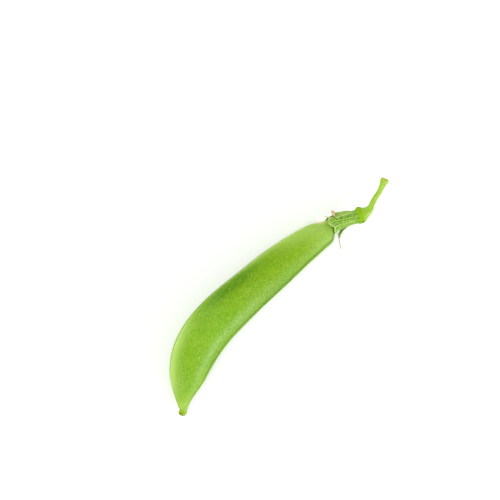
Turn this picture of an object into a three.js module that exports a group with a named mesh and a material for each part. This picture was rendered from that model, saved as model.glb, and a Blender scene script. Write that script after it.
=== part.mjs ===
// A picked sugar snap pea with its calyx and a short piece of stalk, lying on one broad side.
// Millimetres, +Z up. +X runs from the beak to the cut end of the stalk, +Y is the pod's rounded back
// and -Y its hollow belly. The origin is under the middle of the bounding box, where the pod lies.

import * as THREE from 'three';
import { mergeVertices } from 'three/addons/utils/BufferGeometryUtils.js';

// Driving dimensions. Distances along the middle line are counted from the tip of the beak.
const POD_LENGTH = 80.2;
const POD_WIDTH = 14.4; // back to belly at the fattest place
const FLATTEST_AT = 37;
const FLATTENING = 0.3; // share by which the pod is thinner than it is wide there
const FLATTENING_REACH = 38; // distance over which the flattening fades
const FIRST_PEA_AT = 20.8;
const PEA_PITCH = 7.6; // middle of one pea to the middle of the next
const PEA_BULGE = 0.03; // share by which a pea pushes the wall out
const PEAS_SWELL = [11, 23]; // the stretch over which the bulges and the seam ridges rise
const PEAS_FADE = [61, 73]; // and the stretch over which they die away
const SEAM_RIDGE = 0.25; // height of the seam along the back and along the belly
const SHOULDER_AT = 77.4;
const SHOULDER_SPREAD = 2.2;
const SHOULDER_LEAN = 0.9; // how far the shoulder hangs over towards the belly, off the neck
const NECK_RADIUS = 0.9; // the pod's neck, inside the calyx
const CALYX_RADIUS = 2.15; // outside of the calyx round the neck
const COLLAR_RADIUS = 2.4;
const CUP_LENGTH = 3.4;
const CUP_FLOOR = 0.8; // thickness of the cup's closed end
const SEPAL_THICKNESS = 0.4;
const SEPAL_TAPER = 0.7; // share of its width that a sepal loses towards its tip
const SHEATH_THICKNESS = 0.25;
const COLLAR_AT = 89.8; // where the calyx ends and the stalk begins
const STALK_RADIUS = 0.85;
const STALK_LENGTH = 13.5;
const STYLE_RADIUS = 1.2;
const GAP = 0.3; // free space between neighbouring pieces

// Colour and roughness of each living or dried tissue.
const SKIN = { color: 0x82b83a, roughness: 0.5 };
const WITHERED = { color: 0x9c9a35, roughness: 0.8 };
const PAPERY = { color: 0xc9bd83, roughness: 0.9 };
const CALYX_GREEN = { color: 0x9cc43a, roughness: 0.6 };
const SEPAL_GREEN = { color: 0x7fae4b, roughness: 0.7 };
const STALK_GREEN = { color: 0xb7d163, roughness: 0.6 };

// The middle line of beak, pod, neck, calyx and stalk. It bends most in the third next to the beak,
// and again where the calyx leaves the shoulder and the stalk leaves the calyx.
const middleLine = new THREE.CatmullRomCurve3([
  new THREE.Vector3(0, 0, 2.2),
  new THREE.Vector3(8, 6.4, 3.9),
  new THREE.Vector3(17.8, 11.5, 5.0),
  new THREE.Vector3(27.6, 12.9, 5.1),
  new THREE.Vector3(42.9, 11.3, 4.8),
  new THREE.Vector3(58.3, 8.7, 4.6),
  new THREE.Vector3(69.6, 6.1, 4.6),
  new THREE.Vector3(75.9, 4.6, 4.7),
  new THREE.Vector3(79.9, 2.3, 4.8),
  new THREE.Vector3(83.5, -0.2, 4.9),
  new THREE.Vector3(86.9, -1, 5.0),
  new THREE.Vector3(89.6, -0.1, 5.2),
  new THREE.Vector3(93, 0.6, 5.6),
  new THREE.Vector3(96.9, 2.1, 6.1),
]);
const middleLineLength = middleLine.getLength();

// The pod seen on its broad side: [share of the length, share of the half width] at each place.
const POD_OUTLINE = [
  [0.031, 0.2],
  [0.056, 0.295],
  [0.089, 0.445],
  [0.168, 0.78],
  [0.267, 0.965],
  [0.376, 1.0],
  [0.505, 0.96],
  [0.743, 0.835],
  [0.842, 0.72],
  [0.921, 0.58],
  [0.97, 0.43],
  [1.0, 0.22],
];

// The stalk: [share of its length, share of its radius], flared at the calyx and swollen at the cut.
const STALK_OUTLINE = [
  [0, 2.8],
  [0.05, 2.75],
  [0.14, 2.1],
  [0.28, 1.35],
  [0.47, 1.0],
  [0.75, 0.95],
  [0.9, 1.25],
  [1, 1.5],
];

// The point at a distance along the middle line, moved sideways towards the back, and up.
function place(along, across, lift) {
  const share = THREE.MathUtils.clamp(along / middleLineLength, 0, 1);
  const tangent = middleLine.getTangentAt(share);
  const side = new THREE.Vector3(0, 0, 1).cross(tangent).normalize();
  const up = tangent.clone().cross(side);
  return middleLine.getPointAt(share).addScaledVector(side, across).addScaledVector(up, lift);
}

// Bends a solid along the middle line: its Y becomes the distance along it, its Z the distance
// sideways and its X the height. reshape may change the last two on the way.
function bend(geometry, reshape = (along, across, lift) => [across, lift]) {
  const position = geometry.getAttribute('position');
  for (let i = 0; i < position.count; i += 1) {
    const along = position.getY(i);
    const [across, lift] = reshape(along, position.getZ(i), position.getX(i));
    const point = place(along, across, lift);
    position.setXYZ(i, point.x, point.y, point.z);
  }
  return geometry;
}

// A smooth outline through a few places, as points of radius and distance along the middle line.
function outlinePoints(outline, length, radius, steps) {
  const places = outline.map(([far, wide]) => new THREE.Vector3(wide * radius, far * length, 0));
  const points = new THREE.CatmullRomCurve3(places).getSpacedPoints(steps);
  return points.map((point) => new THREE.Vector2(point.x, point.y));
}

// A stretch of one radius, stepped so that it can follow the middle line's bend.
function evenStretch(radius, from, to) {
  const steps = 6;
  return Array.from({ length: steps + 1 }, (_, i) => (
    new THREE.Vector2(radius, THREE.MathUtils.lerp(from, to, i / steps))
  ));
}

const podOutline = outlinePoints(POD_OUTLINE, POD_LENGTH, POD_WIDTH / 2, 52);

// Half the pod's width at a distance along it.
function podHalfWidth(along) {
  const next = podOutline.findIndex((point) => point.y > along);
  if (next < 1) {
    return NECK_RADIUS;
  }
  const before = podOutline[next - 1];
  const after = podOutline[next];
  return THREE.MathUtils.mapLinear(along, before.y, after.y, before.x, after.x);
}

// How far the pod's section is shifted towards the belly at a distance along it.
function shoulderLean(along) {
  const fromShoulder = (along - SHOULDER_AT) / SHOULDER_SPREAD;
  return SHOULDER_LEAN * Math.exp(-(fromShoulder ** 2));
}

// A named mesh of one closed body, in its own material.
function piece(name, geometry, tissue) {
  geometry.deleteAttribute('normal');
  geometry.deleteAttribute('uv');
  const merged = mergeVertices(geometry, 1e-3);
  merged.computeVertexNormals();
  const mesh = new THREE.Mesh(merged, new THREE.MeshStandardMaterial({ ...tissue, metalness: 0 }));
  mesh.name = name;
  return mesh;
}

// The pod: an oval tube that is thinner than wide, with slight bulges over the peas and a raised seam
// along its back and its belly. It lies on its underside, which the surface presses flat.
function makePod() {
  const neckEnd = COLLAR_AT - CUP_FLOOR - GAP;
  const profile = [
    new THREE.Vector2(0, podOutline[0].y),
    ...podOutline,
    ...evenStretch(NECK_RADIUS, POD_LENGTH + NECK_RADIUS, neckEnd),
    new THREE.Vector2(0, neckEnd),
  ];
  const turned = new THREE.LatheGeometry(profile, 28);
  const pod = bend(turned, (along, across, lift) => {
    const fromFlattest = (along - FLATTEST_AT) / FLATTENING_REACH;
    const thinning = FLATTENING * Math.exp(-(fromFlattest ** 2));
    const overPeas = THREE.MathUtils.smoothstep(along, ...PEAS_SWELL)
      * (1 - THREE.MathUtils.smoothstep(along, ...PEAS_FADE));
    const peasFromFirst = (along - FIRST_PEA_AT) / PEA_PITCH;
    const bulge = PEA_BULGE * overPeas * Math.cos(2 * Math.PI * peasFromFirst);
    const onSeam = Math.abs(lift) < 1e-6;
    const ridge = onSeam ? SEAM_RIDGE * overPeas * Math.sign(across) : 0;
    return [across + ridge - shoulderLean(along), lift * (1 - thinning + bulge)];
  });
  const position = pod.getAttribute('position');
  for (let i = 0; i < position.count; i += 1) {
    position.setZ(i, Math.max(position.getZ(i), 0));
  }
  return piece('pod', pod, SKIN);
}

// The stub of the flower's style: a small shrivelled knob on the end of the beak.
function makeStyleRemnant() {
  const length = podOutline[0].y - GAP;
  const knob = new THREE.SphereGeometry(STYLE_RADIUS, 14, 10);
  knob.scale(1, length / (2 * STYLE_RADIUS), 1);
  knob.translate(0, length / 2, 0);
  return piece('style_remnant', bend(knob), WITHERED);
}

// The dried stamens: a papery tube round the neck, from the cup's floor almost to the shoulder.
function makeStamenSheath() {
  const inner = NECK_RADIUS + GAP;
  const outer = inner + SHEATH_THICKNESS;
  const start = POD_LENGTH + NECK_RADIUS + GAP;
  const end = COLLAR_AT - CUP_FLOOR - GAP;
  const profile = [
    ...evenStretch(outer, start, end),
    ...evenStretch(inner, end, start),
    new THREE.Vector2(outer, start),
  ];
  return piece('stamen_sheath', bend(new THREE.LatheGeometry(profile, 20)), PAPERY);
}

// The fused base of the calyx: a cup round the end of the neck, thickened to a collar at the stalk.
function makeCalyxCup() {
  const rim = COLLAR_AT - CUP_LENGTH;
  const inner = CALYX_RADIUS - SEPAL_THICKNESS;
  const profile = [
    new THREE.Vector2(0, COLLAR_AT - CUP_FLOOR),
    new THREE.Vector2(inner, COLLAR_AT - CUP_FLOOR),
    new THREE.Vector2(inner, rim),
    new THREE.Vector2(CALYX_RADIUS, rim),
    new THREE.Vector2(CALYX_RADIUS, rim + 0.5 * CUP_LENGTH),
    new THREE.Vector2(COLLAR_RADIUS, rim + 0.75 * CUP_LENGTH),
    new THREE.Vector2(COLLAR_RADIUS, COLLAR_AT),
    new THREE.Vector2(0, COLLAR_AT),
  ];
  return piece('calyx_cup', bend(new THREE.LatheGeometry(profile, 24)), CALYX_GREEN);
}

// The larger of two lengths, with a soft change from one to the other.
function roundedMax(a, b) {
  const sharpness = 8;
  return (a ** sharpness + b ** sharpness) ** (1 / sharpness);
}

// A sepal: a thin leaf from the cup's rim towards the pod. It hugs the sheath and then the pod's
// shoulder. turn is its place round the neck, from the back edge over the top side. peel is how far
// its tip has come away, and swing how far that tip has turned round the neck.
function makeSepal(name, turn, length, peel = 0, swing = 0) {
  const root = COLLAR_AT - CUP_LENGTH - GAP;
  const snug = CALYX_RADIUS - SEPAL_THICKNESS;
  const halfWidth = (Math.PI * snug) / 5 - GAP / 2;
  const blade = new THREE.BoxGeometry(1, 1, 1, 6, 14, 1);
  const position = blade.getAttribute('position');
  for (let i = 0; i < position.count; i += 1) {
    const far = 0.5 - position.getY(i);
    const along = root - far * length;
    const overShoulder = podHalfWidth(along) - shoulderLean(along) * Math.cos(turn) + GAP;
    const peeled = snug + peel * far ** 2;
    const inside = roundedMax(peeled, overShoulder);
    const radius = inside + (0.5 + position.getZ(i)) * SEPAL_THICKNESS;
    const reach = 2 * position.getX(i) * halfWidth * (1 - SEPAL_TAPER * far ** 3);
    const angle = turn + swing * far + reach / inside;
    position.setXYZ(i, radius * Math.sin(angle), along, radius * Math.cos(angle));
  }
  return piece(name, bend(blade), SEPAL_GREEN);
}

// The stalk that carried the pod, flared where it meets the calyx and cut at its free end.
function makePedicel() {
  const sides = outlinePoints(STALK_OUTLINE, STALK_LENGTH, STALK_RADIUS, 22);
  const profile = [new THREE.Vector2(0, 0), ...sides, new THREE.Vector2(0, STALK_LENGTH)];
  const turned = new THREE.LatheGeometry(profile, 16).translate(0, COLLAR_AT + GAP, 0);
  return piece('pedicel', bend(turned), STALK_GREEN);
}

const FIFTH = (2 * Math.PI) / 5; // the sepals stand in a ring of five

const pea = new THREE.Group();
pea.add(
  makeStyleRemnant(),
  makePod(),
  makeStamenSheath(),
  makeCalyxCup(),
  makeSepal('sepal_back', 0, 6, 1.4),
  makeSepal('sepal_side_upper', FIFTH, 7.8),
  makeSepal('sepal_belly_upper', 2 * FIFTH, 5.6),
  makeSepal('sepal_belly_lower', 3 * FIFTH, 8.6, 5.6, -0.3),
  makeSepal('sepal_side_lower', 4 * FIFTH, 7),
  makePedicel(),
);

const box = new THREE.Box3().setFromObject(pea);
pea.position.set(-(box.min.x + box.max.x) / 2, -(box.min.y + box.max.y) / 2, -box.min.z);

export default pea;
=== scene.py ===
import math

import bpy
import numpy as np
from mathutils import Matrix, Vector, noise


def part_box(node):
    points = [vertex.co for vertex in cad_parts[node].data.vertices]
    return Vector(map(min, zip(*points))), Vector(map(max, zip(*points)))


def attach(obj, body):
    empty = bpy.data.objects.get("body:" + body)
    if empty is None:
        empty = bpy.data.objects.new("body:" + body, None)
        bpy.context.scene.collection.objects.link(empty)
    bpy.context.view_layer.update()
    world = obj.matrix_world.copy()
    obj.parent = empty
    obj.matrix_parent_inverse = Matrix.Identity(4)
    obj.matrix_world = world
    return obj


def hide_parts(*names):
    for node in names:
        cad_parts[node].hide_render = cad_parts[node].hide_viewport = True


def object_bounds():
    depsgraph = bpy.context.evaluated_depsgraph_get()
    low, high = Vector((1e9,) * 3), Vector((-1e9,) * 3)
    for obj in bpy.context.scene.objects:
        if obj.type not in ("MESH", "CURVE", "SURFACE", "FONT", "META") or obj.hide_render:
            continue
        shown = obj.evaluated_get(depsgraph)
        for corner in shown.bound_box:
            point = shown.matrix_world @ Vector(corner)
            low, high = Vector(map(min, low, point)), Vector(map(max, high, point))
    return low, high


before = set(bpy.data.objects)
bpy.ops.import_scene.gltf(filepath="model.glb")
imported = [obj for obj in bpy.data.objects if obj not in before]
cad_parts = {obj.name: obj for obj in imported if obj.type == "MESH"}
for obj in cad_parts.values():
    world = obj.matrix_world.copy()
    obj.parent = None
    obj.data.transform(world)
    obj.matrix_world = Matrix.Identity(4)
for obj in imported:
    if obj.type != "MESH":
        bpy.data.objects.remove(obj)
cad_low, cad_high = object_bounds()


# ------------------------------------------------------------------------------------------------ pod
# One fleshy green wall, grown round a row of seeds and closed by two seams: a single cord along the
# rounded back, and a double one along the hollow belly, where the seeds hang. It narrows to a beak at
# one end, and to a neck inside the calyx at the other.

# Sizes are in millimetres, and the frame is in metres. Places along the pod are distances along its middle
# line from the tip of the beak.
MM = 0.001
POD_LENGTH = 80.2
POD_WIDTH = 14.4
NECK_RADIUS = 0.9
NECK_END = 88.7
TIP_ROUNDING = 0.7
FLATTEST_AT = 37
FLATTENING = 0.3
FLATTENING_REACH = 38
SHOULDER_AT = 77.4
SHOULDER_SPREAD = 2.2
SHOULDER_LEAN = 0.6
PEAS_AT = [20.8, 28.4, 36, 43.6, 51.2, 58.8, 66.4]
PEAS_PUSH = [0.10, 0.17, 0.21, 0.19, 0.22, 0.16, 0.11]
PEA_REACH = 2.9
LIP_OFF_SEAM = 0.42
GROOVE_OFF_SEAM = 1.5
WALL_ROWS = 344
TIP_ROWS = 12
POD_SIDES = 144

# The middle line of beak, pod, neck, calyx and stalk.
MIDDLE_LINE = [
    (0, 0, 2.2), (8, 6.4, 3.9), (17.8, 11.5, 5.0), (27.6, 12.9, 5.1), (42.9, 11.3, 4.8), (58.3, 8.7, 4.6),
    (69.6, 6.1, 4.6), (75.9, 4.6, 4.7), (79.9, 2.3, 4.8), (83.5, -0.2, 4.9), (86.9, -1, 5.0),
    (89.6, -0.1, 5.2), (93, 0.6, 5.6), (96.9, 2.1, 6.1),
]
# The pod seen on its broad side: (share of the length, share of the half width).
POD_OUTLINE = [
    (0.031, 0.2), (0.056, 0.295), (0.089, 0.445), (0.168, 0.78), (0.267, 0.965), (0.376, 1.0),
    (0.505, 0.96), (0.743, 0.835), (0.842, 0.725), (0.921, 0.61), (0.97, 0.47), (1.0, 0.23),
]


def through(points, per_span=60):
    """Close points on a smooth curve through a few given ones."""
    given = np.array(points, float)
    given = np.vstack([2 * given[0] - given[1], given, 2 * given[-1] - given[-2]])
    gaps = np.sqrt(np.linalg.norm(np.diff(given, axis=0), axis=1))
    t = np.linspace(0, 1, per_span, endpoint=False)[:, None]
    spans = []
    for i in range(1, len(given) - 2):
        a, b, c, d = given[i - 1:i + 3]
        before, here, after = gaps[i - 1:i + 2]
        leave = here * ((b - a) / before - (c - a) / (before + here) + (c - b) / here)
        arrive = here * ((c - b) / here - (d - b) / (here + after) + (d - c) / after)
        spans.append(
            (2 * t**3 - 3 * t**2 + 1) * b + (t**3 - 2 * t**2 + t) * leave
            + (3 * t**2 - 2 * t**3) * c + (t**3 - t**2) * arrive
        )
    return np.vstack([*spans, given[-2:-1]])


def softened(values, reach):
    """Rows of numbers, each averaged with its neighbours up to reach rows away, with the ends kept."""
    weights = np.hanning(2 * reach + 3)[1:-1]
    weights /= weights.sum()
    first = 2 * values[0] - values[reach:0:-1]
    last = 2 * values[-1] - values[-2:-reach - 2:-1]
    padded = np.concatenate([first, values, last])
    columns = [np.convolve(column, weights, "valid") for column in padded.reshape(len(padded), -1).T]
    return np.array(columns).T.reshape(values.shape)


def evenly(points, step):
    """The same curve with its points a fixed step apart, and how far along it each of them is."""
    gone = np.concatenate([[0], np.cumsum(np.linalg.norm(np.diff(points, axis=0), axis=1))])
    along = np.linspace(0, gone[-1], int(gone[-1] / step) + 1)
    return np.array([np.interp(along, gone, column) for column in points.T]).T, along


LINE_STEP = 0.1
line, line_along = evenly(through(MIDDLE_LINE), LINE_STEP)
line = softened(line, 14)
line_heading = softened(np.gradient(line, axis=0), 6)
line_heading /= np.linalg.norm(line_heading, axis=1, keepdims=True)


def place(along, across, lift):
    """Points at a distance along the middle line, moved sideways towards the back, and up."""
    along, across, lift = np.broadcast_arrays(along, across, lift)
    flat = along.ravel()
    middle = np.array([np.interp(flat, line_along, column) for column in line.T]).T
    heading = np.array([np.interp(flat, line_along, column) for column in line_heading.T]).T
    side = np.cross([0, 0, 1], heading)
    side /= np.linalg.norm(side, axis=1, keepdims=True)
    up = np.cross(heading, side)
    points = middle + side * across.reshape(-1, 1) + up * lift.reshape(-1, 1)
    return points.reshape(*along.shape, 3)


def round_line(along, radius, turn):
    """Points round the middle line, at a radius and a turn that starts from the pod's back."""
    return place(along, radius * np.cos(turn), radius * np.sin(turn))


outline_sizes = np.array(POD_OUTLINE) * [POD_LENGTH, POD_WIDTH / 2]
pod_outline = softened(evenly(through(outline_sizes), LINE_STEP)[0], 16)


def half_width(along):
    """Half the pod's width at a distance along it, down to the neck's."""
    wide = np.interp(along, pod_outline[:, 0], pod_outline[:, 1])
    neck = np.clip((np.asarray(along) - POD_LENGTH) / NECK_RADIUS, 0, 1)
    return wide + (NECK_RADIUS - wide) * neck * neck * (3 - 2 * neck)


def bell(x, width):
    """1 where x is 0, falling smoothly to a third at that width and to nothing at twice as much."""
    return np.exp(-((np.asarray(x) / width) ** 2))


def fade(x, start, end):
    """0 before start, 1 after end and smooth between; start may be the larger."""
    t = np.clip((np.asarray(x) - start) / (end - start), 0, 1)
    return t * t * (3 - 2 * t)


def shoulder_lean(along):
    """How far the pod's section leans away from its back, near the shoulder."""
    return SHOULDER_LEAN * bell(along - SHOULDER_AT, SHOULDER_SPREAD)


def lumps(points, size, seed):
    """Smooth uneven numbers, about -1 to 1, for points in millimetres, with lumps of that size."""
    flat = points.reshape(-1, 3) / size + np.array([seed * 7.3, seed * 3.1, seed * 5.7])
    return np.array([noise.noise(Vector(p)) for p in flat]).reshape(points.shape[:-1])


def ring_faces(rows, columns):
    """The four-sided faces between rings of points that are stacked in rows."""
    i, j = np.meshgrid(np.arange(rows - 1), np.arange(columns), indexing="ij")
    here = i * columns + j
    over = i * columns + (j + 1) % columns
    return np.stack([here, over, over + columns, here + columns], -1).reshape(-1, 4)


def all_round(sides):
    """Even turns all the way round, for the corners of a ring."""
    return np.linspace(0, 2 * math.pi, sides, endpoint=False)[None, :]


def threes(first, second, third):
    """Three numbers for each point of a mesh, side by side."""
    return np.stack(np.broadcast_arrays(first, second, third), -1)


def mesh_object(name, points, faces, fields=None):
    """A smooth-shaded object from points in millimetres. fields are threes for its material."""
    mesh = bpy.data.meshes.new(name)
    mesh.from_pydata((points.reshape(-1, 3) * MM).tolist(), [], [list(map(int, f)) for f in faces])
    for field, values in (fields or {}).items():
        layer = mesh.attributes.new(field, "FLOAT_VECTOR", "POINT")
        layer.data.foreach_set("vector", np.asarray(values, np.float32).reshape(-1))
    mesh.shade_smooth()
    made = bpy.data.objects.new(name, mesh)
    bpy.context.scene.collection.objects.link(made)
    return made


def rings(points):
    """Faces that close a stack of rings into one solid: the sides and a cap on each end."""
    rows, columns = points.shape[:2]
    caps = [list(range(columns - 1, -1, -1)), list(range((rows - 1) * columns, rows * columns))]
    return [*ring_faces(rows, columns).tolist(), *caps]


pod_start = POD_OUTLINE[0][0] * POD_LENGTH
pod_along = np.concatenate([
    np.linspace(pod_start, pod_start + TIP_ROUNDING, TIP_ROWS, endpoint=False),
    np.linspace(pod_start + TIP_ROUNDING, NECK_END, WALL_ROWS),
])[:, None]
pod_turn = all_round(POD_SIDES)
tip_round = 1 - 0.16 * fade(pod_along, pod_start + TIP_ROUNDING, pod_start) ** 2
pod_half = half_width(pod_along) * tip_round
pod_flat = 1 - FLATTENING * bell(pod_along - FLATTEST_AT, FLATTENING_REACH)


def round_section(seam):
    """How far each point is from a seam, round the pod's section, less than 0 on one side of it."""
    return ((pod_turn - seam + math.pi) % (2 * math.pi) - math.pi) * pod_half


# The back seam wanders a little, as the pod is twisted. on_wall leaves out the beak's tip and the neck.
round_back = round_section(np.radians(8 + 12 * fade(pod_along, 40, 8)))
from_back = np.abs(round_back)
from_belly = round_section(np.radians(160))
off_belly = np.abs(from_belly)
on_wall = fade(pod_along, 4, 11) * fade(pod_along, 79.8, 74.8)

# What stands out of the smooth wall: the peas, the cord along the back, the two lips of the belly seam
# with a groove outside each, and the skin's own lumps.
pea_push = sum(push * bell(pod_along - at, PEA_REACH) for at, push in zip(PEAS_AT, PEAS_PUSH))
pea_push = pea_push * np.abs(np.sin(pod_turn)) ** 1.4
back_cord = 0.26 * bell(from_back, 0.42) - 0.12 * bell(from_back - 1.15, 0.5)
belly_lips = 0.3 * bell(off_belly - LIP_OFF_SEAM, 0.3) - 0.16 * bell(off_belly - GROOVE_OFF_SEAM, 0.5)
section_across = pod_half * np.cos(pod_turn) - shoulder_lean(pod_along)
section_lift = pod_half * pod_flat * np.sin(pod_turn)
smooth_skin = place(pod_along, section_across, section_lift)
skin_lumps = lumps(smooth_skin, 9, 1)
skin_ripples = lumps(smooth_skin, 2.6, 2)
push = pea_push + on_wall * (back_cord + belly_lips + 0.16 * skin_lumps + 0.022 * skin_ripples)
out_across, out_lift = np.broadcast_arrays(np.cos(pod_turn) * pod_flat, np.sin(pod_turn))
push = push / np.hypot(out_across, out_lift)
pod_points = place(pod_along, section_across + out_across * push, section_lift + out_lift * push)

# The line starts at the beak, and the frame's origin is under the middle. The pod's box says how far apart
# the two are, and the surface that the pod lies on presses its underside flat.
pod_low, pod_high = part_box("pod")
corners = pod_points.reshape(-1, 3)
made_middle = (corners.min(axis=0) + corners.max(axis=0)) / 2
box_middle = (np.array(pod_low) + np.array(pod_high)) / 2 / MM
origin = (made_middle - box_middle) * [1, 1, 0]
line = line - origin
pod_points = pod_points - origin
pod_points[..., 2] = np.maximum(pod_points[..., 2], pod_low.z / MM)

# Numbers for the skin. spot is where a point is. tint is how pale it is, with painted sheen and glints,
# how deep green, mostly painted shade, and how creamy it is, and tone how yellow it is, how much of the
# wax bloom it has kept, and how dull it is. Each band of colour is its strength, times a bell across it,
# a distance from a seam, times how it fades along the pod.
uneven = 0.75 + 0.9 * lumps(smooth_skin - origin, 3.5, 7)
# The cord is less pale around 37 mm along.
cord_dimmed = 1 - 0.6 * bell(pod_along - 37, 6)
cord_paleness = 0.5 * bell(round_back, 0.45) * fade(pod_along, 3, 12) * cord_dimmed
# Painted sheen along the back rim, in the beak half and from 46 mm to the shoulder.
rim_sheen = bell(round_back - 0.3, 1.4) * (
    0.3 * fade(pod_along, 46, 56) * fade(pod_along, 79, 68) + 0.5 * fade(pod_along, 34, 20)
)
# Painted sheen on the back side of the beak half, and a paler back side from 58 mm to the shoulder.
side_paleness_and_sheen = (
    0.34 * bell(from_back - 1.5, 1.9) * fade(pod_along, 33, 22) * fade(pod_along, 5, 13)
    + 0.12 * bell(from_back - 3.8, 2.2) * fade(pod_along, 24, 16) * fade(pod_along, 4, 9)
    + 0.3 * bell(from_back - 2.6, 2.4) * fade(pod_along, 58, 68)
)
# Paler lips on the belly seam, and a painted glint on the belly side near the beak.
belly_paleness_and_glint = (
    0.12 * uneven * bell(off_belly - LIP_OFF_SEAM, 0.34)
    + 0.26 * bell(from_belly + 2.6, 1.6) * bell(pod_along - 10, 6)
)
pale_and_sheen = np.clip(cord_paleness + rim_sheen + side_paleness_and_sheen + belly_paleness_and_glint, 0, 1)
# Painted shadow on the back side: a band from about 29 to 60 mm along, and a strip beside the cord.
back_shade = (
    bell(from_back - 2.6, 2.4) * fade(pod_along, 29, 41) * fade(pod_along, 60, 45)
    + 0.5 * bell(round_back + 2.4, 1.0)
)
wall_depth = (
    0.25 * bell(pod_along - 51, 14)
    + 0.17 * bell(pod_along - 14, 8) * fade(off_belly, 3.5, 6) * fade(from_back, 1, 4)
)
# Painted shade along the belly: in the seam's groove and the grooves outside its lips, in a strip along the
# belly edge and over the belly flank; besides that, darker streaks beside the seam near the beak.
belly_shade = (
    0.4 * bell(from_belly, 0.2)
    + 0.45 * uneven * bell(off_belly - GROOVE_OFF_SEAM, 0.5)
    + 0.3 * uneven * bell(pod_along - 9, 2.5) * bell(from_belly + 1.6, 1.2)
    + bell(from_belly + 0.7, 0.8) * (0.25 * fade(pod_along, 12, 20) + 0.22 * fade(pod_along, 34, 46))
    + 0.4 * bell(from_belly + 1.8, 0.9) * fade(pod_along, 8, 18)
    + 0.25 * bell(from_belly + 4.3, 2.0) * fade(pod_along, 13, 22) * fade(pod_along, 46, 36)
    + 0.24 * bell(from_belly + 4, 2.2) * fade(pod_along, 34, 50)
)
# Painted shade where the neck goes into the calyx.
neck_shade = 0.6 * bell(pod_along - POD_LENGTH - 0.2, 1.3)
deep_and_shade = back_shade + wall_depth + belly_shade + neck_shade
cream = bell(round_back, 0.8) * bell(pod_along - 77.6, 1.3)
yellow = 0.5 * fade(pod_along, 68, 77) + 0.8 * fade(pod_along, 9.5, 3.5)
bloom = fade(skin_lumps, -0.3, 0.5)
dull_seam = bell(from_belly + 0.2, 1.7)
dull_flank = 0.4 * bell(from_belly + 4.5, 2.2) * fade(pod_along, 38, 54)

pod = mesh_object("pod_skin", pod_points, rings(pod_points), {
    "spot": threes(pod_along, from_back, section_lift),
    "tint": threes(pale_and_sheen * on_wall, deep_and_shade, cream),
    "tone": threes(yellow, bloom, (dull_seam + dull_flank) * on_wall),
})


def colour(red, green, blue):
    """A colour given in the usual 0 to 255 steps, as the linear numbers that a shader takes."""
    steps = np.array([red, green, blue]) / 255
    linear = np.where(steps <= 0.04045, steps / 12.92, ((steps + 0.055) / 1.055) ** 2.4)
    return (*linear.tolist(), 1.0)


def new_material(name, roughness, specular=0.5):
    """A material with one main shader, and its node tree."""
    material = bpy.data.materials.new(name)
    material.use_nodes = True
    tree = material.node_tree
    shader = tree.nodes["Principled BSDF"]
    shader.inputs["Roughness"].default_value = roughness
    shader.inputs["Specular IOR Level"].default_value = specular
    shader.inputs["IOR"].default_value = 1.3
    return material, tree, shader


def add(tree, kind, inputs=None, **settings):
    """A new node. An input is a plain value, or another node's output to link."""
    node = tree.nodes.new("ShaderNode" + kind)
    for name, value in settings.items():
        setattr(node, name, value)
    for name, value in (inputs or {}).items():
        if isinstance(value, bpy.types.NodeSocket):
            tree.links.new(value, node.inputs[name])
        else:
            node.inputs[name].default_value = value
    return node


def maths(tree, operation, first, second, clamp=False):
    return add(tree, "Math", {0: first, 1: second}, operation=operation, use_clamp=clamp).outputs[0]


def times(tree, first, second):
    return maths(tree, "MULTIPLY", first, second)


def between(tree, value, low, high, to_low=0.0, to_high=1.0):
    """The value, carried smoothly from the range low to high over to another range."""
    ranges = {"Value": value, "From Min": low, "From Max": high, "To Min": to_low, "To Max": to_high}
    return add(tree, "MapRange", ranges, interpolation_type="SMOOTHSTEP").outputs["Result"]


def mixed(tree, share, first, second):
    """Two colours mixed, with the share of the second."""
    return add(tree, "Mix", {0: share, 6: first, 7: second}, data_type="RGBA").outputs[2]


def field(tree, name):
    """A vector that the mesh holds at each point, and its three numbers."""
    vector = add(tree, "Attribute", attribute_name=name, attribute_type="GEOMETRY").outputs["Vector"]
    return vector, add(tree, "SeparateXYZ", {0: vector}).outputs


def stretched(tree, vector, scale, turn=0.0):
    """The vector turned about its third number and then scaled, for a pattern with a grain."""
    turned = add(tree, "Mapping", {"Vector": vector, "Rotation": (0, 0, turn)}, vector_type="POINT")
    return add(tree, "Mapping", {"Vector": turned.outputs[0], "Scale": scale}).outputs[0]


def cloudy(tree, vector, scale, detail=2.0, roughness=0.5):
    inputs = {"Vector": vector, "Scale": scale, "Detail": detail, "Roughness": roughness}
    return add(tree, "TexNoise", inputs).outputs[0]


def cells(tree, vector, scale, feature):
    return add(tree, "TexVoronoi", {"Vector": vector, "Scale": scale}, feature=feature).outputs["Distance"]


def wobbled(tree, vector, scale, reach):
    """The vector moved about by a soft noise, so that a pattern's lines aren't straight."""
    cloud = add(tree, "TexNoise", {"Vector": vector, "Scale": scale, "Detail": 2.0}).outputs[1]
    centred = add(tree, "VectorMath", {0: cloud, 1: (0.5, 0.5, 0.5)}, operation="SUBTRACT").outputs[0]
    moved = {0: centred, 1: (reach, reach, reach), 2: vector}
    return add(tree, "VectorMath", moved, operation="MULTIPLY_ADD").outputs[0]


def surfaced(tree, shader, top_colour, roughness, *layers):
    """Links a colour and a roughness, and raises the surface by patterns with heights in millimetres."""
    tree.links.new(top_colour, shader.inputs["Base Color"])
    tree.links.new(roughness, shader.inputs["Roughness"])
    normal = None
    for height, pattern in layers:
        inputs = {"Height": pattern, "Distance": height * MM, "Strength": 1.0}
        if normal:
            inputs["Normal"] = normal
        normal = add(tree, "Bump", inputs).outputs[0]
    tree.links.new(normal, shader.inputs["Normal"])


FRESH_GREEN = colour(123, 173, 24)
DEEP_GREEN = colour(80, 132, 0)
YELLOW_GREEN = colour(144, 186, 30)
OLIVE_GREEN = colour(148, 160, 30)
SPECK_GREEN = colour(164, 206, 66)
PALE_GREEN = colour(184, 218, 112)
END_YELLOW = colour(173, 209, 92)
WAX_BLOOM = colour(180, 208, 140)
CREAM = colour(228, 214, 150)
SCAR = colour(186, 216, 122)

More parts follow.
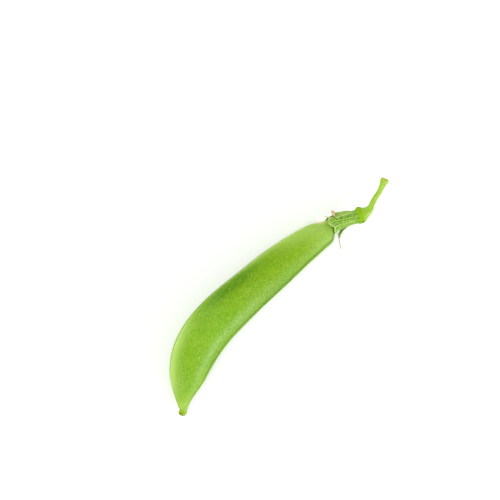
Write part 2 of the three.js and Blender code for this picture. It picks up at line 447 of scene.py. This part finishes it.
skin, tree, shader = new_material("pod_skin", 0.36, 0.3)
spot, spot_parts = field(tree, "spot")
tint = field(tree, "tint")[1]
tone = field(tree, "tone")[1]
clouds = cloudy(tree, spot, 0.13, 2)
mottle = cloudy(tree, spot, 0.95, 4, 0.62)
grain = cloudy(tree, spot, 2.4, 3, 0.75)
vein_spot = stretched(tree, wobbled(tree, spot, 0.5, 1.6), (0.42, 0.17, 0.17), 0.7)
veins = cells(tree, vein_spot, 1.0, "DISTANCE_TO_EDGE")
vein_lines = between(tree, veins, 0.0, 0.05, 1.0, 0.0)
pores = between(tree, cells(tree, spot, 1.7, "F1"), 0.1, 0.36, 1.0, 0.0)
scar_dots = between(tree, cells(tree, spot, 0.16, "F1"), 0.04, 0.09, 1.0, 0.0)
scars = times(tree, scar_dots, between(tree, cloudy(tree, spot, 0.33, 1), 0.5, 0.62))
green = mixed(tree, between(tree, clouds, 0.35, 0.68, 0.0, 0.5), FRESH_GREEN, YELLOW_GREEN)
green = mixed(tree, between(tree, spot_parts[0], 34.0, 48.0, 0.0, 0.22), green, OLIVE_GREEN)
green = mixed(tree, between(tree, mottle, 0.42, 0.7, 0.0, 0.3), green, DEEP_GREEN)
green = mixed(tree, tone[0], green, END_YELLOW)
# Deeper green, mostly painted shade and shadow.
green = mixed(tree, tint[1], green, DEEP_GREEN)
green = mixed(tree, between(tree, grain, 0.5, 0.68, 0.0, 0.65), green, SPECK_GREEN)
green = mixed(tree, between(tree, grain, 0.46, 0.32, 0.0, 0.5), green, DEEP_GREEN)
green = mixed(tree, times(tree, vein_lines, 0.16), green, SPECK_GREEN)
green = mixed(tree, times(tree, pores, 0.3), green, SPECK_GREEN)
green = mixed(tree, times(tree, tone[1], 0.05), green, WAX_BLOOM)
# Paler, in part painted sheen and glints.
green = mixed(tree, tint[0], green, PALE_GREEN)
green = mixed(tree, tint[2], green, CREAM)
green = mixed(tree, times(tree, scars, 0.6), green, SCAR)
waxy = between(tree, mottle, 0.3, 0.7, 0.26, 0.38)
roughness = maths(tree, "ADD", waxy, times(tree, tone[2], 0.5), True)
surfaced(tree, shader, green, roughness, (0.05, grain), (0.03, mottle), (0.012, vein_lines), (-0.03, scars))
shader.inputs["Subsurface Weight"].default_value = 0.12
shader.inputs["Subsurface Radius"].default_value = (0.6, 1.0, 0.2)
shader.inputs["Subsurface Scale"].default_value = 1.2 * MM
pod.data.materials.append(skin)
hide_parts("pod")
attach(pod, "root")


# ---------------------------------------------------------------------------------------- style remnant
# The stub of the flower's style on the end of the beak: a small shrivelled knob, still yellow-green,
# with a dried brown crack on its back side. It is grown on to the pod's tip.

STYLE_SIDES = 72
# (distance from its free end, radius); the other end lies inside the beak.
STYLE_OUTLINE = [
    (0, 0.02), (0.03, 0.45), (0.2, 0.84), (0.55, 1.12), (1.0, 1.22), (1.5, 1.18), (1.95, 1.11), (2.3, 1.18),
    (2.8, 1.42),
]

style_outline = evenly(through(STYLE_OUTLINE), 0.05)[0]
style_along = style_outline[:, :1]
style_half = style_outline[:, 1:]
style_turn = all_round(STYLE_SIDES)
style_flat = 1 - 0.13 * fade(style_along, 0.8, 2.5)
style_smooth = round_line(style_along, style_half, style_turn)
loose = fade(style_along, 2.4, 1.0)
creases = np.cos(5 * style_turn + 1.3 * np.sin(2 * style_turn))
# The crack runs slantwise from the back side over the upper side, and the knob has sunk along it.
from_crack = style_turn - 0.35 - 1.8 * (style_along - 0.8)
crack = bell(from_crack, 0.42) * fade(style_along, 0.3, 0.8) * fade(style_along, 2.0, 1.5)
heel = bell(style_turn - 0.25, 0.8) * bell(style_along - 0.9, 0.6)
# The beak's skin runs a little way down the knob's belly side.
skin_tongue = bell(style_turn - 2.9, 0.65) * fade(style_along, 0.6, 1.3)
style_radius = style_half * (1 + loose * (0.04 * creases + 0.1 * lumps(style_smooth, 0.8, 3)))
style_radius = style_radius + 0.14 * heel - 0.16 * crack + 0.2 * skin_tongue
style_across = style_radius * np.cos(style_turn)
style_lift = style_radius * np.sin(style_turn)
style_points = place(style_along, style_across, style_flat * style_lift)

# Numbers for the stub. tint is how withered it is, together with painted shade in the joint, how near its
# rim, and how like the pod's skin.
dead_spot = bell(style_turn - 0.4, 0.42) * bell(style_along - 0.8, 0.42)
# Painted shade in the groove where the knob joins the beak, on its back side.
joint_shade = 0.45 * bell(style_along - 2.0, 0.28) * bell(style_turn - 0.5, 0.8)
withered_and_shade = np.clip(1.1 * dead_spot + 0.48 * crack + joint_shade, 0, 1)
rim = bell(style_along - 0.15, 0.6)
on_skin = np.maximum(fade(style_along, 1.9, 2.5), skin_tongue)
style = mesh_object("style_stub", style_points, rings(style_points), {
    "spot": threes(style_along, style_across, style_lift),
    "tint": threes(withered_and_shade, rim, on_skin),
})

LIME = colour(164, 194, 34)
DARK_LIME = colour(140, 172, 14)
BEAK_GREEN = colour(150, 192, 70)
RIM_OLIVE = colour(108, 128, 8)
OLIVE = colour(120, 142, 10)
BROWN = colour(84, 78, 26)

withered, tree, shader = new_material("withered_style", 0.42, 0.35)
spot = field(tree, "spot")[0]
tint = field(tree, "tint")[1]
wrinkles = cloudy(tree, stretched(tree, spot, (1.2, 4.0, 4.0)), 1.0, 4, 0.6)
green = mixed(tree, between(tree, wrinkles, 0.38, 0.62), LIME, DARK_LIME)
green = mixed(tree, tint[2], green, BEAK_GREEN)
# Withered olive and brown, which also carry the painted shade of the joint.
green = mixed(tree, between(tree, tint[0], 0.1, 0.5, 0.0, 0.85), green, OLIVE)
green = mixed(tree, between(tree, tint[0], 0.45, 1.0), green, BROWN)
green = mixed(tree, times(tree, tint[1], 0.9), green, RIM_OLIVE)
surfaced(tree, shader, green, between(tree, wrinkles, 0.3, 0.7, 0.35, 0.6), (0.08, wrinkles))
style.data.materials.append(withered)
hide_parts("style_remnant")
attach(style, "root")


# ---------------------------------------------------------------------------------------- stamen sheath
# What is left of the flower's ten stamens: nine papery threads grown together into a tube round the
# neck, and one beside them. Their loose ends have dried, split apart and curled.

SHEATH_RADIUS = 1.36
SHEATH_START = 81.7
SHEATH_END = 88.7
THREAD_RADIUS = 0.4
THREAD_ROWS = 60
THREAD_SIDES = 12


def tube(points, radius, sides):
    """A stack of rings round a line of points, each with its own radius."""
    heading = np.gradient(points, axis=0)
    heading /= np.linalg.norm(heading, axis=1, keepdims=True)
    side = np.cross(heading, [0.31, 0.2, 0.93])
    side /= np.linalg.norm(side, axis=1, keepdims=True)
    up = np.cross(heading, side)
    turn = all_round(sides)[..., None]
    spread = np.cos(turn) * side[:, None] + np.sin(turn) * up[:, None]
    return points[:, None] + spread * np.asarray(radius).reshape(-1, 1, 1)


def joined(solids):
    """Several closed stacks of rings as one set of points and faces."""
    faces = []
    first = 0
    for solid in solids:
        faces += [[corner + first for corner in face] for face in rings(solid)]
        first += solid.shape[0] * solid.shape[1]
    return np.vstack([solid.reshape(-1, 3) for solid in solids]), faces


# Each loose end: (its turn round the neck in degrees, length, how far it swings out and how much it turns).
LOOSE_ENDS = [
    (10, 2.4, 1.2, 14), (50, 1.6, 0.4, -20), (90, 1.9, 0.5, 12), (130, 1.4, 0.3, 10), (168, 2.6, 1.0, -12),
    (206, 3.0, 1.4, 16), (246, 1.8, 0.7, 10), (286, 1.5, 0.6, -14), (325, 2.0, 0.6, 10), (352, 2.6, 1.1, -24),
]
threads = []
thread_spots = []
for number, (turn_deg, length, swing, twist) in enumerate(LOOSE_ENDS):
    share = np.linspace(0, 1, THREAD_ROWS)
    along = SHEATH_END + (SHEATH_START - length - SHEATH_END) * share
    loose = fade(along, SHEATH_START + 0.6, SHEATH_START - length)
    turn = np.radians(turn_deg + twist * loose + (4 + 5 * loose) * np.sin(3 * along + number))
    held_off = half_width(along) - NECK_RADIUS
    radius = np.maximum(SHEATH_RADIUS + held_off + 0.12, SHEATH_RADIUS) + swing * loose**1.6
    lean = shoulder_lean(along) * fade(along, SHEATH_START + 1, SHEATH_START - 1)
    middle = place(along, radius * np.cos(turn) - lean, radius * np.sin(turn))
    thick = THREAD_RADIUS * (1 - 0.72 * fade(along, SHEATH_START + 1.2, SHEATH_START - 0.6))
    thick = thick * (1 - 0.55 * share**6) * (1 + 0.15 * loose * np.sin(23 * share + 2 * number))
    threads.append(tube(middle, thick, THREAD_SIDES))
    round_thread = 3.0 * number + np.linspace(0, 1, THREAD_SIDES)[None, :]
    thread_spots.append(threes(along[:, None], round_thread, loose[:, None]).reshape(-1, 3))
sheath_points, sheath_faces = joined(threads)
sheath = mesh_object("stamen_threads", sheath_points, sheath_faces, {"spot": np.vstack(thread_spots)})

STRAW = colour(238, 232, 184)
GREEN_STRAW = colour(212, 212, 144)
DRIED_PINK = colour(206, 160, 122)

papery, tree, shader = new_material("dried_stamens", 0.75)
spot, spot_parts = field(tree, "spot")
fibres = cloudy(tree, stretched(tree, spot, (0.8, 5.0, 1.0)), 1.5, 4, 0.6)
straw = mixed(tree, between(tree, fibres, 0.3, 0.7), STRAW, GREEN_STRAW)
straw = mixed(tree, between(tree, spot_parts[2], 0.5, 1.0, 0.0, 0.45), straw, DRIED_PINK)
surfaced(tree, shader, straw, between(tree, fibres, 0.3, 0.7, 0.65, 0.85), (0.04, fibres))
sheath.data.materials.append(papery)
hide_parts("stamen_sheath")
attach(sheath, "root")


# ------------------------------------------------------------------------------------------- calyx cup
# The fused base of the calyx, a ribbed green cup round the end of the neck. It thickens to a bright
# collar where the stalk carries it, and its rim passes into the five sepals.

COLLAR_AT = 89.8
CUP_RIM = 86.4
CUP_FLOOR = 89.0
COLLAR_BULGE = 0.5
# (distance along the middle line, radius), from the floor inside, over the rim and back to the stalk.
CUP_OUTLINE = [
    (CUP_FLOOR, 0.02), (CUP_FLOOR, 1.0), (CUP_FLOOR - 0.3, 1.7), (87.4, 1.78), (CUP_RIM + 0.15, 1.84),
    (CUP_RIM, 1.95), (CUP_RIM + 0.15, 2.08), (87.2, 2.12), (87.9, 2.16), (88.15, 2.18), (88.35, 2.3),
    (88.7, 2.42), (89.2, 2.47), (89.6, 2.46), (COLLAR_AT, 2.38), (COLLAR_AT, 0.02),
]
CUP_RIBS = 10
CUP_SIDES = 150

cup_outline = evenly(through(CUP_OUTLINE, 20), 0.09)[0]
cup_turn = all_round(CUP_SIDES)
cup_along = cup_outline[:, :1]
cup_radius = cup_outline[:, 1:]
# The outline's first rows are the cup's floor and its inner wall, which stay plain.
outside = fade(cup_radius, 1.9, 2.05) * fade(np.arange(len(cup_outline))[:, None], 20, 30)
rib = np.maximum(np.cos(CUP_RIBS * cup_turn), 0) ** 2
rim_wave = 0.35 * np.cos(5 * cup_turn + math.pi) * fade(cup_along, 87.6, CUP_RIM)
cup_lumps = 0.1 * lumps(round_line(cup_along, cup_radius, cup_turn), 1.6, 4)
rib_push = 0.09 * (rib - 0.5) * fade(cup_along, 88.3, 87.8)
collar_push = COLLAR_BULGE * bell(COLLAR_AT - cup_along, 1.3) * bell(np.cos(cup_turn) - 1, 0.5)
cup_push = outside * (rib_push + cup_lumps + collar_push)
cup_points = round_line(cup_along + rim_wave, cup_radius + cup_push, cup_turn)

# Numbers for the cup. Its pattern lies as if on an even tube. tint is the lime collar, a brown fleck on it
# and the ribs.
PATTERN_RADIUS = 2.2
collar = fade(cup_along, 88.3, 88.6) * outside
fleck = 0.8 * bell(cup_along - 89.3, 0.45) * bell(np.cos(cup_turn - 2.5) - 1, 0.05)
cup = mesh_object("calyx_base", cup_points, rings(cup_points), {
    "spot": threes(cup_along, PATTERN_RADIUS * np.cos(cup_turn), PATTERN_RADIUS * np.sin(cup_turn)),
    "tint": threes(collar, fleck, rib),
})

VEINED_GREEN = colour(42, 106, 0)
VEINED_PALE = colour(96, 148, 16)
VEIN_LIME = colour(178, 219, 94)
COLLAR_LIME = colour(139, 185, 0)


def vein_net(tree, spot, mottle, grain):
    """A net of fine raised veins, which is strong in some places and faint in others."""
    bent = wobbled(tree, wobbled(tree, spot, 1.6, 0.4), 5.0, 0.2)
    net = cells(tree, stretched(tree, bent, grain), 1.0, "DISTANCE_TO_EDGE")
    strength = between(tree, mottle, 0.3, 0.6, 0.5)
    return times(tree, between(tree, net, 0.02, 0.23, 1.0, 0.0), strength)


calyx, tree, shader = new_material("calyx_green", 0.55, 0.25)
spot = field(tree, "spot")[0]
tint = field(tree, "tint")[1]
mottle = cloudy(tree, spot, 2.4, 3, 0.6)
net_lines = vein_net(tree, spot, mottle, (2.5, 3.5, 3.5))
green = mixed(tree, between(tree, mottle, 0.35, 0.65), VEINED_GREEN, VEINED_PALE)
green = mixed(tree, times(tree, net_lines, 0.85), green, VEIN_LIME)
green = mixed(tree, times(tree, tint[2], 0.5), green, VEIN_LIME)
green = mixed(tree, tint[0], green, COLLAR_LIME)
green = mixed(tree, tint[1], green, BROWN)
roughness = between(tree, mottle, 0.3, 0.7, 0.48, 0.65)
surfaced(tree, shader, green, roughness, (0.05, net_lines), (0.03, mottle))
cup.data.materials.append(calyx)
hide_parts("calyx_cup")
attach(cup, "root")


# --------------------------------------------------------------------------------------------- sepals
# Five thin leaves that stand in a ring on the cup's rim and wrap the neck as far as the pod's shoulder.
# Their veins stand out, their edges overlap, and their tips have yellowed, dried and curled. One has
# shrivelled and come away from the pod.

SEPAL_ROOT = 87.1
SEPAL_SNUG = 1.98
SEPAL_FLARE = 0.35
SEPAL_THICKNESS = 0.17
BLADE_ROWS = 120
BLADE_COLUMNS = 45
FIFTH = 2 * math.pi / 5
# The outline of a blade: (share of its length, share of a fifth of the ring that it covers).
BROAD = [(0, 0.96), (0.3, 1.18), (0.66, 1.2), (0.84, 1.06), (0.94, 0.72), (1, 0.08)]
CURLED = [(0, 0.96), (0.3, 1.1), (0.6, 1.02), (0.78, 0.84), (0.92, 0.56), (1, 0.14)]
SHRIVELLED = [(0, 0.9), (0.1, 0.5), (0.25, 0.32), (0.45, 0.28), (0.6, 0.22), (0.7, 0.07), (1, 0.035)]
# Node, turn round the neck, length, outline, how far the tip swings round the neck, layer, where it
# starts to dry, and how far it leans outward, in degrees, at even places from root to tip.
SEPALS = [
    ("sepal_back", 0, 7.6, CURLED, 0.5, 2, 0.78, (0, 2, 3, 6, 45, 190)),
    ("sepal_side_upper", FIFTH, 8.2, BROAD, -0.3, 1, 1.0, (0, 2, 2, 3)),
    ("sepal_belly_upper", 2 * FIFTH, 8.0, BROAD, -0.28, 0, 1.0, (0, 2, 2, 3)),
    ("sepal_belly_lower", 3 * FIFTH, 11.4, SHRIVELLED, -0.42, 1, 1.0, (14, 26, 42, 60)),
    ("sepal_side_lower", 4 * FIFTH, 8.0, BROAD, 0.1, 1, 1.05, (0, 2, 3, 8)),
]


def both_faces(inner, outer):
    """A blade's two faces as flat rings. They meet in its edges, so each edge has its points once."""
    return np.concatenate([inner, outer[:, -2:0:-1]], axis=1)


def sepal_blade(turn, length, outline, swing, layer, dry_from, leans):
    """A blade as a stack of flat rings, with the fields for its material."""
    far = np.linspace(0, 1, BLADE_ROWS)[:, None]
    over = np.linspace(-1, 1, BLADE_COLUMNS)[None, :]
    # Where the blade would lie if it were smooth: on the cup's rim, the neck and the pod's shoulder.
    lean = softened(np.radians(np.interp(far[:, 0], np.linspace(0, 1, len(leans)), leans)), 8)
    step = length / (len(far) - 1)
    along = SEPAL_ROOT - (np.cumsum(np.cos(lean)) - math.cos(lean[0]))[:, None] * step
    out = (np.cumsum(np.sin(lean)) - math.sin(lean[0]))[:, None] * step
    lean = lean[:, None]
    above = 0.2 * layer * fade(far, 0.02, 0.25)
    snug = SEPAL_SNUG + SEPAL_FLARE * far + out + above
    shoulder = half_width(along) - shoulder_lean(along) * math.cos(turn) + 0.16 + above
    inside = (snug**8 + shoulder**8) ** (1 / 8)
    shape = through(outline, 20)
    share = np.interp(far, shape[:, 0], shape[:, 1])
    # What the drying leaf does to that: waves, a frilled edge, ribs, and edges rolled up and ragged.
    smooth = round_line(along, inside, turn + over * share)
    wave = 0.1 * lumps(smooth, 1.3, 5 + layer) * fade(far, 0.05, 0.4)
    frill = 0.12 * np.sin(15 * far + 2 * turn) * np.abs(over) ** 3 * fade(far, 0.15, 0.5)
    ribs = 0.07 * np.cos(2.5 * math.pi * over) ** 6 + 0.06 * bell(over, 0.12)
    rolled = 0.4 * over**2 * fade(np.sin(lean), 0.4, 1)
    edge = np.sqrt(np.maximum(1 - np.abs(over) ** 6, 0))
    thick = SEPAL_THICKNESS * (1 - 0.35 * far) * edge
    nicks = 0.07 * np.sin(31 * far + turn) * fade(far, 0.3, 0.6) * np.sign(over)
    ragged = 1 + nicks + 0.05 * np.sin(57 * far)
    angle = turn + swing * far**1.5 + over * share * ragged * FIFTH / 2
    faces = []
    for side in (-0.5, 0.5):
        raised = thick * side + rolled + (ribs * edge * np.minimum(share, 1) if side > 0 else 0)
        radius = inside + wave + frill + np.cos(lean) * raised
        faces.append(round_line(along + np.sin(lean) * raised, radius, angle))
    # Numbers for the leaf. tint is how dry it is, how bleached, with the outermost layer lighter all over as
    # a painted highlight, and its ribs.
    half = share * FIFTH / 2 * SEPAL_SNUG
    dried = fade(far, dry_from - 0.12, dry_from + 0.2)
    # Pale dry edges and tips; the outermost layer is lighter all over, a painted highlight.
    bleached_and_lit = np.abs(over) ** 5 + 0.6 * fade(far, 0.8, 0.98) + (0.4 if layer == 2 else 0)
    spot = threes(far * length, over * half, turn * 3)
    tint = threes(dried, bleached_and_lit, ribs)
    return both_faces(*faces), {"spot": both_faces(spot, spot), "tint": both_faces(tint, tint)}


LEAF_GREEN = colour(30, 96, 0)
LEAF_PALE = colour(72, 132, 0)
BLEACHED_AND_LIT = colour(196, 224, 124)
DRY_STRAW = colour(226, 212, 162)
DRY_BROWN = colour(204, 160, 128)

sepal_leaf, tree, shader = new_material("sepal_green", 0.6, 0.25)
spot = field(tree, "spot")[0]
tint = field(tree, "tint")[1]
mottle = cloudy(tree, spot, 1.6, 4, 0.6)
net_lines = vein_net(tree, spot, mottle, (2.5, 3.6, 1.0))
rib_strength = between(tree, mottle, 0.35, 0.6, 0.35, 0.85)
rib_lines = times(tree, between(tree, tint[2], 0.01, 0.06), rib_strength)
green = mixed(tree, between(tree, mottle, 0.38, 0.62), LEAF_GREEN, LEAF_PALE)
green = mixed(tree, times(tree, net_lines, 0.75), green, VEIN_LIME)
green = mixed(tree, rib_lines, green, VEIN_LIME)
# Pale edges and tips, and the painted highlight on the outermost layer.
green = mixed(tree, times(tree, tint[1], 0.8), green, BLEACHED_AND_LIT)
drying = maths(tree, "ADD", tint[0], between(tree, mottle, 0.3, 0.8, -0.15, 0.25), True)
dry = mixed(tree, between(tree, mottle, 0.4, 0.6), DRY_STRAW, DRY_BROWN)
green = mixed(tree, between(tree, drying, 0.25, 0.8), green, dry)
roughness = between(tree, mottle, 0.3, 0.7, 0.5, 0.72)
surfaced(tree, shader, green, roughness, (0.05, net_lines), (0.04, mottle))

for node, *shape in SEPALS:
    blade_points, blade_fields = sepal_blade(*shape)
    blade = mesh_object(node + "_leaf", blade_points, rings(blade_points), blade_fields)
    blade.data.materials.append(sepal_leaf)
    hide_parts(node)
    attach(blade, "root")


# -------------------------------------------------------------------------------------------- pedicel
# The stalk that carried the pod: five blunt ridges, a trumpet where it meets the calyx, and a swollen
# end where it was cut from the plant, with the pale pith and the browned bark showing in the cut.

STALK_LENGTH = 13.5
STALK_RADIUS = 0.85
STALK_SIDES = 72
STALK_TURNED = 0.5
STALK_TWIST = 0.07
STALK_SUNK = 0.06
CUT_PROUD = 0.02
CUT_ROWS = 10
# (share of the length, share of the radius), from the calyx to the cut.
STALK_OUTLINE = [
    (0, 2.72), (0.015, 2.74), (0.04, 2.54), (0.085, 2.1), (0.15, 1.66), (0.22, 1.36), (0.32, 1.1),
    (0.47, 1.0), (0.75, 0.98), (0.87, 1.16), (0.945, 1.5), (0.98, 1.56), (1.0, 1.36),
]

stalk_outline = evenly(through(np.array(STALK_OUTLINE) * [STALK_LENGTH, STALK_RADIUS]), 0.08)[0]
bark_far = stalk_outline[:, :1]
plain_radius = stalk_outline[:, 1:]
stalk_turn = all_round(STALK_SIDES)
from_ridge = stalk_turn - (STALK_TURNED + STALK_TWIST * bark_far)
ridges = np.cos(5 * from_ridge) * fade(bark_far, 0.2, 3.5)
stalk_smooth = round_line(COLLAR_AT + bark_far, plain_radius, stalk_turn)
strands = np.cos(11 * from_ridge + 0.8 * lumps(stalk_smooth, 1.2, 8)) * bell(bark_far - 1.1, 1.1)
uneven = 1 + 0.07 * ridges + 0.02 * strands + 0.06 * lumps(stalk_smooth, 1.4, 6)
collar_side = COLLAR_BULGE * bell(bark_far, 1.9) * bell(np.cos(stalk_turn) - 1, 0.5)
bark_radius = plain_radius * uneven + collar_side
# The cut: rings that close the end, a little dished, with the pith standing in the middle.
cut_share = np.linspace(0.92, 0.02, CUT_ROWS)[:, None]
cut_radius = bark_radius[-1:] * cut_share
cut_far = STALK_LENGTH + CUT_PROUD - 0.16 * bell(cut_share - 0.6, 0.25)
stalk_far = np.vstack([bark_far, cut_far])
stalk_radius = np.vstack([bark_radius, cut_radius])
# The stalk starts just inside the collar, and its cut lies at the end of the middle line.
stalk_start = COLLAR_AT - STALK_SUNK
stalk_reach = line_along[-1] - stalk_start
stalk_along = stalk_start + stalk_far * stalk_reach / (STALK_LENGTH + CUT_PROUD)
stalk_points = round_line(stalk_along, stalk_radius, stalk_turn)

# Numbers for the stalk. tint is 1 on the cut, then the browned bark round it, and the grooves.
pattern_turn = stalk_turn - STALK_TURNED
on_cut = np.vstack([np.zeros_like(bark_far), np.ones_like(cut_share)])
browned = np.vstack([bell(bark_far - STALK_LENGTH, 0.4), bell(cut_share - 0.92, 0.2)])
bark_grooves = 0.5 - 0.5 * ridges + 0.6 * np.maximum(-strands, 0)
grooves = np.vstack([bark_grooves, np.zeros_like(cut_radius)])
stalk = mesh_object("stalk", stalk_points, rings(stalk_points), {
    "spot": threes(stalk_far, stalk_radius * np.cos(pattern_turn), stalk_radius * np.sin(pattern_turn)),
    "tint": threes(on_cut, browned, grooves),
})

STALK_GREEN = colour(140, 183, 38)
STALK_PALE = colour(180, 212, 88)
GROOVE_GREEN = colour(132, 177, 34)
STALK_BLOOM = colour(202, 228, 126)
PITH = colour(214, 216, 96)
PITH_DARK = colour(186, 194, 40)
CUT_BROWN = colour(198, 182, 62)

stalk_bark, tree, shader = new_material("stalk_green", 0.5, 0.3)
spot, spot_parts = field(tree, "spot")
tint = field(tree, "tint")[1]
streaks = cloudy(tree, stretched(tree, spot, (0.16, 3.0, 3.0)), 1.3, 4, 0.6)
mottle = cloudy(tree, stretched(tree, spot, (0.5, 1.2, 1.2)), 3.0, 3, 0.6)
green = mixed(tree, between(tree, streaks, 0.38, 0.62), STALK_PALE, STALK_GREEN)
green = mixed(tree, times(tree, tint[2], 0.6), green, GROOVE_GREEN)
green = mixed(tree, between(tree, spot_parts[0], 0.35, 0.75, 0.85, 0.0), green, COLLAR_LIME)
green = mixed(tree, between(tree, mottle, 0.5, 0.72, 0.0, 0.35), green, STALK_BLOOM)
pith = mixed(tree, between(tree, mottle, 0.4, 0.6), PITH, PITH_DARK)
green = mixed(tree, tint[0], green, pith)
green = mixed(tree, between(tree, tint[1], 0.2, 1.0, 0.0, 0.6), green, CUT_BROWN)
roughness = between(tree, streaks, 0.3, 0.7, 0.42, 0.6)
surfaced(tree, shader, green, roughness, (0.05, streaks), (0.02, mottle))
stalk.data.materials.append(stalk_bark)
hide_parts("pedicel")
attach(stalk, "root")


# ------------------------------------------------------------------------------- floor, light and camera
# A plain white studio: a wide matt floor, an even white sky, and a broad soft light from above, on the
# back side. A long soft box stands on the belly side, and a small one lies low on the back side.

FLOOR_HALF = 3000
FLOOR_GAP = 0.02
FLOOR_WHITE = 0.86
FLOOR_GLOW = 0.22
SKY_LIGHT = 0.44
WHITE = (1, 1, 1, 1)

floor_corners = np.array([[-1, -1, 0], [1, -1, 0], [1, 1, 0], [-1, 1, 0]]) * FLOOR_HALF
floor = mesh_object("floor", floor_corners, [[0, 1, 2, 3]])
floor.location.z = cad_low.z - FLOOR_GAP * MM


def background_seen(tree):
    """1 where the background is looked at, straight, in a mirror or through glass, and 0 where it lights."""
    rays = add(tree, "LightPath").outputs
    turned_back = maths(tree, "MAXIMUM", rays["Is Glossy Ray"], rays["Is Transmission Ray"])
    return maths(tree, "MAXIMUM", rays["Is Camera Ray"], turned_back)


white_floor = bpy.data.materials.new("white_floor")
white_floor.use_nodes = True
tree = white_floor.node_tree
tree.nodes.clear()
matt = add(tree, "BsdfDiffuse", {"Color": (FLOOR_WHITE, FLOOR_WHITE, FLOOR_WHITE, 1)})
glow_strength = times(tree, background_seen(tree), FLOOR_GLOW)
glow = add(tree, "Emission", {"Color": WHITE, "Strength": glow_strength})
both = add(tree, "AddShader", {0: matt.outputs[0], 1: glow.outputs[0]})
add(tree, "OutputMaterial", {"Surface": both.outputs[0]})
floor.data.materials.append(white_floor)

world = bpy.data.worlds.new("white_sky")
bpy.context.scene.world = world
world.use_nodes = True
tree = world.node_tree
sky = tree.nodes["Background"]
# The sky is plain white where it is seen, and lights the pod more softly than that.
sky_strength = maths(tree, "ADD", times(tree, background_seen(tree), 1 - SKY_LIGHT), SKY_LIGHT)
tree.links.new(sky_strength, sky.inputs["Strength"])
sky.inputs["Color"].default_value = WHITE


def lamp(name, kind, direction, distance, strength):
    """A lamp that shines on the frame's origin from a direction, and isn't seen itself."""
    light = bpy.data.lights.new(name, kind)
    light.energy = strength
    holder = bpy.data.objects.new(name, light)
    towards = Vector(direction).normalized()
    holder.location = towards * distance
    holder.rotation_mode = "QUATERNION"
    holder.rotation_quaternion = towards.to_track_quat("Z", "Y")
    holder.visible_camera = False
    bpy.context.scene.collection.objects.link(holder)
    return holder


MAIN_LIGHT_FROM = (-0.25, 0.6, 1.0)
MAIN_LIGHT_DISTANCE = 2.0
MAIN_LIGHT_STRENGTH = 1.75
BOX_DISTANCE = 0.6

main_light = lamp("main_light", "SUN", MAIN_LIGHT_FROM, MAIN_LIGHT_DISTANCE, MAIN_LIGHT_STRENGTH)
main_light.data.angle = math.radians(40)
main_light.visible_glossy = False

# Name, direction, watts, length and height in metres, and whether the box is only there to be mirrored in
# the wax.
SOFT_BOXES = [
    ("belly_box", (0.1, -0.86, 0.5), 2.4, 0.5, 0.16, False),
    ("back_box", (-0.4, 0.9, 0.22), 0.45, 0.3, 0.12, False),
    ("belly_shine", (0.2, -0.86, 0.5), 4.0, 0.62, 0.34, True),
    ("back_shine", (-0.4, 0.9, 0.22), 0.6, 0.3, 0.12, True),
]
for name, direction, watts, box_length, box_height, only_mirrored in SOFT_BOXES:
    box = lamp(name, "AREA", direction, BOX_DISTANCE, watts)
    box.data.shape = "RECTANGLE"
    box.data.size = box_length
    box.data.size_y = box_height
    box.visible_diffuse = not only_mirrored

# The camera looks down on the broad side, tilted a little towards the back, and rolled so that the
# beak is at the lower left. VIEW_WIDTH is how much it takes in, across, at the place it aims at.
TILT = math.radians(17)
ROLL = math.radians(49)
VIEW_WIDTH = 153.8 * MM
LENS = 135.0
SENSOR = 36.0
AIM = Vector((4.2, 10.9, 5.0)) * MM

camera_data = bpy.data.cameras.new("camera")
camera_data.lens = LENS
camera_data.sensor_width = SENSOR
camera = bpy.data.objects.new("camera", camera_data)
bpy.context.scene.collection.objects.link(camera)
back = Vector((0, math.sin(TILT), math.cos(TILT)))
right = Vector((1, 0, 0))
up = back.cross(right)
picture_right = right * math.cos(ROLL) - up * math.sin(ROLL)
picture_up = right * math.sin(ROLL) + up * math.cos(ROLL)
turned = Matrix((picture_right, picture_up, back)).transposed().to_4x4()
camera.matrix_world = Matrix.Translation(AIM + back * VIEW_WIDTH * LENS / SENSOR) @ turned
bpy.context.scene.camera = camera
bpy.context.scene.view_settings.view_transform = "Standard"
